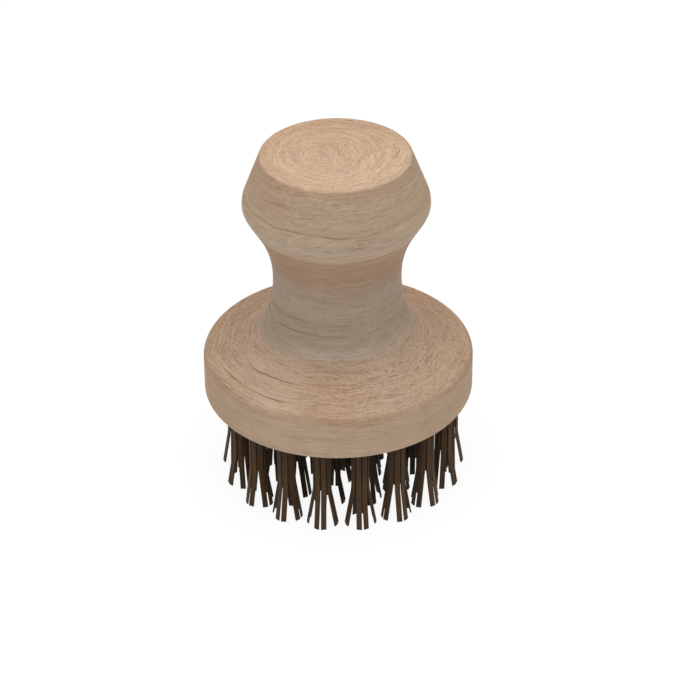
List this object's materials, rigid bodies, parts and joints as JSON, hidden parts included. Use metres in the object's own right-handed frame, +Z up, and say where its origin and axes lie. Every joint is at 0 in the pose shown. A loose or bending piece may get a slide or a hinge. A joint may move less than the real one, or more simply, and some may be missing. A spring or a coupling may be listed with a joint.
{
  "type": "grill brush",
  "caption": "Palm-held scrubbing brush: a turned beech knob, neck and round head in one piece, with rings of stiff dark plant-fibre tufts that splay at their tips.",
  "frame": {"origin": "where the turning axis meets the plane of the tuft tips, which the brush stands on", "axes": "+Z up the turning axis, from the tips to the knob's flat top; +X the way that the tuft pattern is set off the axis"},
  "size_m": [0.08, 0.08, 0.1062],
  "materials": {
    "beech": "plain turned and sanded, unvarnished",
    "plant_fibre": "dry dark brown stalk fibre",
    "steel_wire": "flat drawn wire"
  },
  "bodies": {
    "root": {"anchor_center": "steel_wire", "anchor_ring3_01": "steel_wire", "anchor_ring3_02": "steel_wire", "anchor_ring3_03": "steel_wire", "anchor_ring3_04": "steel_wire", "anchor_ring3_05": "steel_wire", "anchor_ring3_06": "steel_wire", "anchor_ring3_07": "steel_wire", "anchor_ring3_08": "steel_wire", "anchor_ring3_09": "steel_wire", "anchor_ring3_10": "steel_wire", "anchor_ring3_11": "steel_wire", "anchor_ring3_12": "steel_wire", "anchor_ring3_13": "steel_wire", "anchor_ring3_14": "steel_wire", "anchor_ring3_15": "steel_wire", "anchor_ring3_16": "steel_wire", "anchor_ring3_17": "steel_wire", "anchor_ring3_18": "steel_wire", "tuft_center": "plant_fibre", "tuft_ring1_01": "plant_fibre", "tuft_ring1_02": "plant_fibre", "tuft_ring1_03": "plant_fibre", "tuft_ring1_04": "plant_fibre", "tuft_ring1_05": "plant_fibre", "tuft_ring1_06": "plant_fibre", "tuft_ring2_01": "plant_fibre", "tuft_ring2_02": "plant_fibre", "tuft_ring2_03": "plant_fibre", "tuft_ring2_04": "plant_fibre", "tuft_ring2_05": "plant_fibre", "tuft_ring2_06": "plant_fibre", "tuft_ring2_07": "plant_fibre", "tuft_ring2_08": "plant_fibre", "tuft_ring2_09": "plant_fibre", "tuft_ring2_10": "plant_fibre", "tuft_ring2_11": "plant_fibre", "tuft_ring2_12": "plant_fibre", "tuft_ring3_01": "plant_fibre", "tuft_ring3_02": "plant_fibre", "tuft_ring3_03": "plant_fibre", "tuft_ring3_04": "plant_fibre", "tuft_ring3_05": "plant_fibre", "tuft_ring3_06": "plant_fibre", "tuft_ring3_07": "plant_fibre", "tuft_ring3_08": "plant_fibre", "tuft_ring3_09": "plant_fibre", "tuft_ring3_10": "plant_fibre", "tuft_ring3_11": "plant_fibre", "tuft_ring3_12": "plant_fibre", "tuft_ring3_13": "plant_fibre", "tuft_ring3_14": "plant_fibre", "tuft_ring3_15": "plant_fibre", "tuft_ring3_16": "plant_fibre", "tuft_ring3_17": "plant_fibre", "tuft_ring3_18": "plant_fibre", "turned_body": "beech"}
  },
  "joints": []
}
